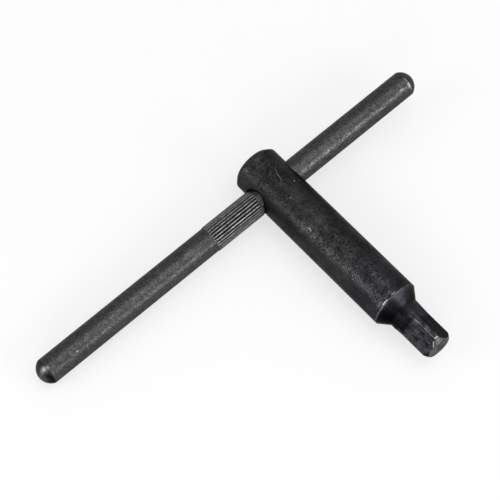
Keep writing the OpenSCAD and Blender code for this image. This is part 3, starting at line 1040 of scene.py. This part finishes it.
# Scratches, nicks and larger spots, a few of them painted highlights and glints, as (start, end, width,
# strength, lightness against bare steel)
MARKS = {
    "barrel": [
        ((-0.03870, 0.02300, 0.01835), (-0.03590, 0.02165, 0.01858), 0.00018, 0.25, 1.0),
        ((-0.03590, 0.02165, 0.01858), (-0.03334, 0.02126, 0.01860), 0.00024, 0.35, 1.0),
        ((-0.03024, 0.02471, 0.01784), (-0.03001, 0.02440, 0.01796), 0.00032, 0.6, 1.0),
        ((-0.02952, 0.02640, 0.01690), (-0.03030, 0.02660, 0.01680), 0.00026, 0.35, 1.0),
        ((-0.02588, 0.01860, 0.01828), (-0.02560, 0.01910, 0.01836), 0.00026, 0.3, 1.0),
        ((-0.02711, 0.01545, 0.01674), (-0.02576, 0.01897, 0.01837), 0.00016, 0.14, 1.0),
        ((-0.01515, 0.01326, 0.01441), (-0.01429, 0.01504, 0.01641), 0.00018, 0.14, 1.0),
        ((-0.01298, 0.01597, 0.01710), (-0.01169, 0.01575, 0.01695), 0.00034, 0.4, 1.0),
        ((0.01536, 0.01910, 0.01840), (0.01602, 0.02085, 0.01860), 0.00020, 0.16, 1.0),
        ((0.04685, 0.01914, 0.01417), (0.04788, 0.01826, 0.01318), 0.00034, 0.75, 1.0),
        ((0.04639, 0.02000, 0.01511), (0.04648, 0.02080, 0.01525), 0.00034, 0.85, 1.0),
        ((0.04648, 0.02080, 0.01525), (0.04678, 0.02149, 0.01507), 0.00030, 0.7, 1.0),
        ((0.03716, 0.01988, 0.01514), (0.03780, 0.01980, 0.01510), 0.00030, 0.3, 1.0),
        ((0.02581, 0.01518, 0.01652), (0.02577, 0.01692, 0.01764), 0.00038, 0.8, 1.2),
        ((0.02564, 0.01935, 0.01845), (0.02556, 0.02059, 0.01859), 0.00026, 0.5, 1.0),
    ],
    "bar": [
        ((-0.03345, -0.07352, 0.00960), (-0.03330, -0.07290, 0.00960), 0.00030, 0.5, 1.3),
        # Painted highlight on the long end's dome, and a painted glint at its edge
        ((-0.03585, -0.08690, 0.00880), (-0.03530, -0.08520, 0.00985), 0.00150, 0.8, 0.65),
        ((-0.03555, -0.08500, 0.00990), (-0.03500, -0.08470, 0.00988), 0.00030, 0.4, 1.0),
        # Worn ridge ends at the knurl's outer end, with painted glints on their facets
        ((-0.03345, -0.00940, 0.01230), (-0.03300, -0.00940, 0.01200), 0.00030, 0.8, 1.2),
        ((-0.03260, -0.00940, 0.01160), (-0.03220, -0.00950, 0.01120), 0.00030, 0.9, 1.3),
        ((-0.03170, -0.00950, 0.01050), (-0.03150, -0.00950, 0.01020), 0.00028, 0.6, 1.0),
        # Rubbed spots beside the short end's dome, partly a painted highlight along the dome's edge
        ((-0.03350, 0.08430, 0.01600), (-0.03242, 0.08400, 0.01507), 0.00090, 0.55, 0.9),
        ((-0.03566, 0.08423, 0.01684), (-0.03370, 0.08430, 0.01618), 0.00030, 0.28, 1.1),
        ((-0.03370, 0.08435, 0.01618), (-0.03177, 0.08435, 0.01410), 0.00034, 0.4, 1.1),
        ((-0.03289, 0.08399, 0.01556), (-0.03330, 0.08380, 0.01575), 0.00038, 0.45, 1.1),
        ((-0.03330, 0.07979, 0.01573), (-0.03320, 0.08122, 0.01571), 0.00032, 0.35, 1.5),
    ],
}
# Bands that are rubbed more than the rest, laid along the highlights so that their specks are partly
# painted glints, as (start, end, width, strength)
RUBBED_AND_GLINT_ZONES = {
    "barrel": [
        ((-0.015, 0.0160, 0.0170), (0.026, 0.0160, 0.0170), 0.0075, 0.8),
        ((0.0245, 0.0130, 0.0150), (0.0245, 0.0190, 0.0183), 0.0016, 1.2),
        ((-0.040, 0.0160, 0.0172), (-0.015, 0.0160, 0.0172), 0.0040, 0.5),
    ],
    "bar": [
        ((-0.0330, 0.0320, 0.0135), (-0.0330, 0.0870, 0.0157), 0.0022, 1.0),
        ((-0.0342, -0.0180, 0.0122), (-0.0342, -0.0860, 0.0094), 0.0028, 0.7),
    ],
}


def build_groups():
    """Builds every shared node group once."""
    if "patches" not in bpy.data.node_groups:
        for build in (group_patches, group_specks, group_grain, group_worn_edge, group_mark):
            build()


def settings():
    """The property groups kept on the scene."""
    scene = bpy.context.scene
    return scene.key_barrel, scene.key_drive, scene.key_bar, scene.key_finish, scene.key_studio


def add_piece(name, mesh, material, node):
    """Links a finished mesh as the piece that stands for a solid, under the root's empty, and hides the
    solid.
    """
    piece = bpy.data.objects.new(name, mesh)
    bpy.context.scene.collection.objects.link(piece)
    piece.data.materials.append(material)
    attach(piece, "root")
    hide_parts(node)
    return piece


class KEY_OT_barrel(bpy.types.Operator):
    """Build the barrel with its cross hole and square drive"""

    bl_idname = "chuck_key.barrel"
    bl_label = "Barrel"

    def execute(self, context):
        barrel, drive, bar, finish, _ = settings()
        build_groups()
        steel = black_oxide(finish, barrel)
        add_piece("key_barrel", barrel_mesh(barrel, drive, bar), steel, "barrel")
        return {"FINISHED"}


class KEY_OT_cross_bar(bpy.types.Operator):
    """Build the cross bar with its straight knurl"""

    bl_idname = "chuck_key.cross_bar"
    bl_label = "Cross bar"

    def execute(self, context):
        barrel, _, bar, finish, _ = settings()
        build_groups()
        steel = darkened_steel(finish, rest_tilt(bar, barrel.diameter / 2))
        add_piece("key_cross_bar", bar_mesh(barrel, bar), steel, "cross_bar")
        return {"FINISHED"}


class KEY_OT_studio(bpy.types.Operator):
    """Set up the floor, the light and the camera"""

    bl_idname = "chuck_key.studio"
    bl_label = "Studio"

    def execute(self, context):
        studio = settings()[4]
        build_floor()
        build_light()
        build_camera(studio)
        return {"FINISHED"}


def seen_directly(tree):
    """One where a surface is seen by the camera, in a reflection or through something, else zero."""
    path = add_node(tree, "ShaderNodeLightPath").outputs
    return maths(tree, "MAXIMUM", path["Is Camera Ray"], maths(
        tree, "MAXIMUM", path["Is Glossy Ray"], path["Is Transmission Ray"]))


# Half the side of the floor, in metres
FLOOR_HALF = 1.6


def build_floor():
    """Level square that the key lies on: mostly white by itself where it is seen, with a soft shadow.

    It turns wholly white away from the key, so that it runs into the white world without an edge.
    """
    corners = [(x * FLOOR_HALF, y * FLOOR_HALF, 0) for x, y in ((-1, -1), (1, -1), (1, 1), (-1, 1))]
    mesh = bpy.data.meshes.new("floor")
    mesh.from_pydata(corners, [], [(0, 1, 2, 3)])
    floor = bpy.data.objects.new("floor", mesh)
    bpy.context.scene.collection.objects.link(floor)
    material, tree, shader, where = start_material("floor")
    shader.inputs["Base Color"].default_value = (0.9, 0.9, 0.9, 1)
    shader.inputs["Roughness"].default_value = 1.0
    shader.inputs["Specular IOR Level"].default_value = 0.0
    white = add_node(tree, "ShaderNodeEmission", {"Strength": 1.0})
    away = vector_maths(tree, "LENGTH", where)["Value"]
    share_white = maths(tree, "MULTIPLY", seen_directly(tree), ranged(tree, away, 0.07, 0.3, 0.65, 1.0))
    mix = add_node(tree, "ShaderNodeMixShader", {0: share_white, 1: shader.outputs[0], 2: white.outputs[0]})
    tree.links.new(mix.outputs[0], tree.nodes["Material Output"].inputs["Surface"])
    mesh.materials.append(material)


def build_light():
    """World that is white to the camera, grey in reflections and dim as a light, and the soft boxes."""
    world = bpy.data.worlds.new("studio")
    bpy.context.scene.world = world
    world.use_nodes = True
    tree = world.node_tree
    background = tree.nodes["Background"]
    background.inputs["Color"].default_value = (1, 1, 1, 1)
    path = add_node(tree, "ShaderNodeLightPath").outputs
    reflected = ranged(tree, path["Is Glossy Ray"], 0.0, 1.0, 0.55, 0.62, smooth=False)
    tree.links.new(maths(tree, "MAXIMUM", reflected, path["Is Camera Ray"]), background.inputs["Strength"])
    for name, towards, distance, size, level in SOFT_BOXES:
        soft_box(name, Vector(towards).normalized(), distance, size, level)


# Soft boxes as name, direction from the key, distance, size (both in metres) and brightness against white
SOFT_BOXES = (
    ("overhead box", (0.15, 0.20, 0.97), 1.1, (0.8, 1.0), 1.35),
    ("left front box", (-0.36, -0.79, 0.50), 1.0, (0.6, 0.3), 4.2),
    ("front box", (0.64, -0.64, 0.40), 1.0, (0.6, 0.3), 4.2),
    ("right box", (0.85, 0.30, 0.44), 1.0, (0.6, 0.3), 5.0),
)


def soft_box(name, towards, distance, size, level):
    """Square lamp that faces the key. Its power is its brightness times its area times pi."""
    lamp = bpy.data.lights.new(name, "AREA")
    lamp.shape = "RECTANGLE"
    lamp.size, lamp.size_y = size
    lamp.energy = level * size[0] * size[1] * math.pi
    holder = bpy.data.objects.new(name, lamp)
    holder.location = towards * distance
    holder.rotation_euler = towards.to_track_quat("Z", "Y").to_euler()
    holder.visible_camera = False
    bpy.context.scene.collection.objects.link(holder)


# Point that the camera looks at
AIM = Vector((-23.272 * MM, -2.671 * MM, 9.3 * MM))


def build_camera(studio):
    """Camera on the line of sight given by azimuth, elevation and distance, looking at the aim point."""
    data = bpy.data.cameras.new("camera")
    data.lens = studio.focal
    data.sensor_width = 36.0
    data.clip_end = 20.0
    camera = bpy.data.objects.new("camera", data)
    bpy.context.scene.collection.objects.link(camera)
    level = math.cos(studio.elevation)
    east, north = level * math.cos(studio.azimuth), level * math.sin(studio.azimuth)
    out = Vector((east, north, math.sin(studio.elevation)))
    camera.location = AIM + out * studio.distance
    camera.rotation_euler = out.to_track_quat("Z", "Y").to_euler()
    camera.rotation_euler.rotate_axis("Z", studio.roll)
    bpy.context.scene.camera = camera


class KEY_PT_panel(bpy.types.Panel):
    """Lists the pieces of the key and its studio"""

    bl_label = "Chuck Key"
    bl_idname = "KEY_PT_panel"
    bl_space_type = "VIEW_3D"
    bl_region_type = "UI"
    bl_category = "Chuck Key"

    def draw(self, context):
        for operator, groups in PANEL_ROWS:
            self.layout.operator(operator)
            for group in groups:
                for name in GROUPS[group].__annotations__:
                    self.layout.prop(getattr(context.scene, group), name)


# Each operator with the property groups that belong to it
PANEL_ROWS = (
    ("chuck_key.barrel", ("key_barrel", "key_drive", "key_finish")),
    ("chuck_key.cross_bar", ("key_bar",)),
    ("chuck_key.studio", ("key_studio",)),
)
GROUPS = {
    "key_barrel": BarrelSizes,
    "key_drive": DriveSizes,
    "key_bar": BarSizes,
    "key_finish": Finishes,
    "key_studio": StudioSettings,
}
CLASSES = (*GROUPS.values(), KEY_OT_barrel, KEY_OT_cross_bar, KEY_OT_studio, KEY_PT_panel)


def register():
    """Registers the classes and puts the property groups on the scene."""
    for cls in CLASSES:
        bpy.utils.register_class(cls)
    for name, group in GROUPS.items():
        setattr(bpy.types.Scene, name, bpy.props.PointerProperty(type=group))


def unregister():
    """Takes away what register added."""
    for name in GROUPS:
        delattr(bpy.types.Scene, name)
    for cls in reversed(CLASSES):
        bpy.utils.unregister_class(cls)


def main():
    """Builds the key and its studio."""
    register()
    bpy.context.scene.view_settings.view_transform = "Standard"
    bpy.ops.chuck_key.barrel()
    bpy.ops.chuck_key.cross_bar()
    bpy.ops.chuck_key.studio()


if __name__ == "__main__":
    main()
